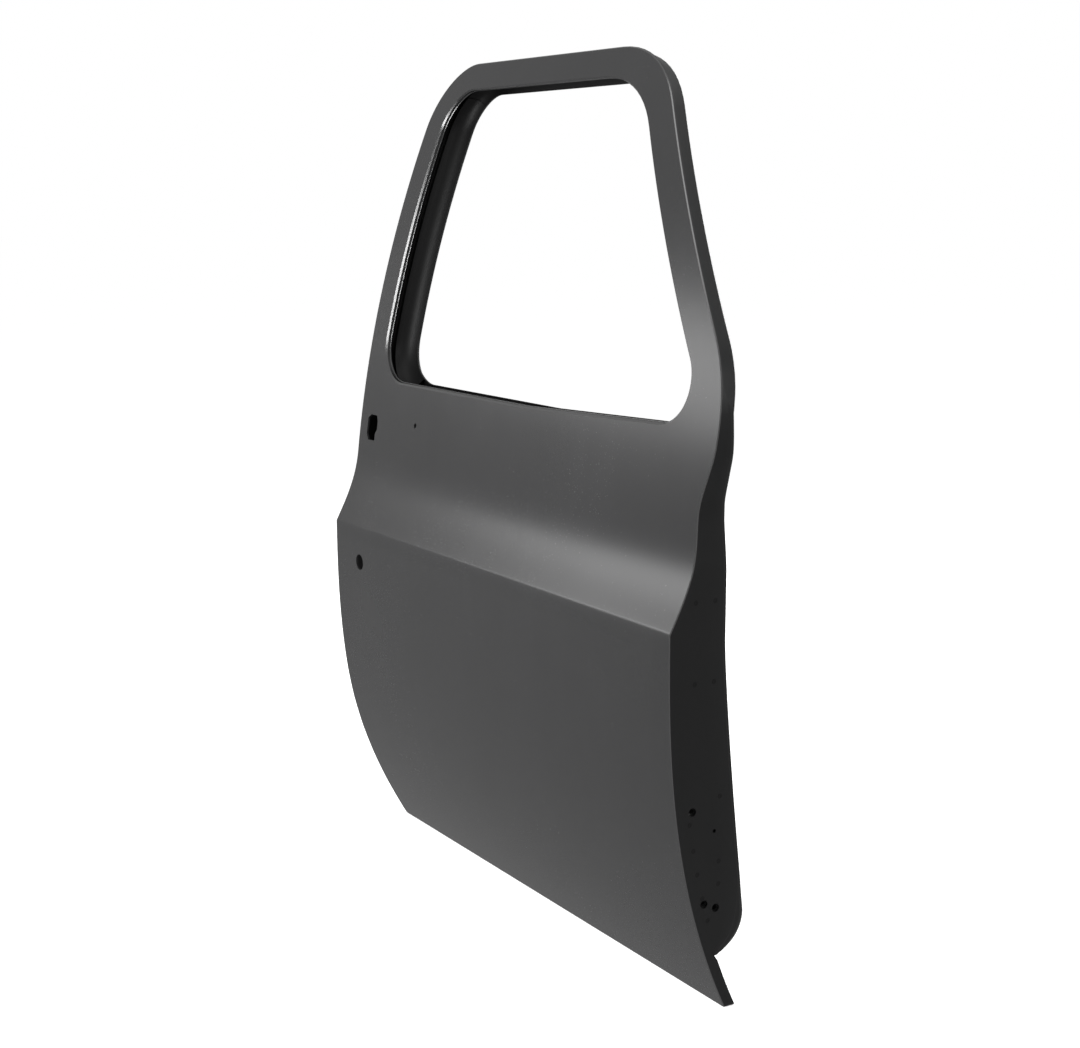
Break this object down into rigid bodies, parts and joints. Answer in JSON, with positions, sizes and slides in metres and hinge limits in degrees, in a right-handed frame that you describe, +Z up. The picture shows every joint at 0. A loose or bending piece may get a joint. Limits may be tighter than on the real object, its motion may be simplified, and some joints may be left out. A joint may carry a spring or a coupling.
{
  "type": "car door shell",
  "caption": "Bare steel front door shell of a pickup truck: pressed outer skin with window frame, deep inner panel with hinge wall and access openings, and the plates welded inside.",
  "frame": {"origin": "centre of the lower hinge face, on the outside of the hinge wall", "axes": "+Z up, +X forwards out of the hinge wall, +Y from the outer skin towards the cabin"},
  "size_m": [0.95, 0.2634, 1.224],
  "materials": {
    "primed_steel": "satin black primer",
    "mastic": "matte"
  },
  "bodies": {
    "root": {"armrest_weld_nut_1": "primed_steel", "armrest_weld_nut_2": "primed_steel", "division_bar_bracket": "primed_steel", "glass_channel_bracket": "primed_steel", "handle_plate": "primed_steel", "hinge_tapping_plate": "primed_steel", "inner_belt_reinforcement": "primed_steel", "inner_panel": "primed_steel", "latch_plate": "primed_steel", "lock_plate": "primed_steel", "lower_hinge_plate": "primed_steel", "mastic_pad_1": "mastic", "mastic_pad_2": "mastic", "mastic_pad_3": "mastic", "outer_belt_reinforcement": "primed_steel", "outer_skin": "primed_steel", "rear_run_retainer": "primed_steel", "regulator_plate": "primed_steel", "regulator_weld_nut_1": "primed_steel", "regulator_weld_nut_2": "primed_steel", "regulator_weld_nut_3": "primed_steel", "regulator_weld_nut_4": "primed_steel", "skin_stiffener": "primed_steel", "tapping_plate_cage": "primed_steel", "top_run_retainer": "primed_steel", "upper_hinge_plate": "primed_steel"}
  },
  "joints": []
}
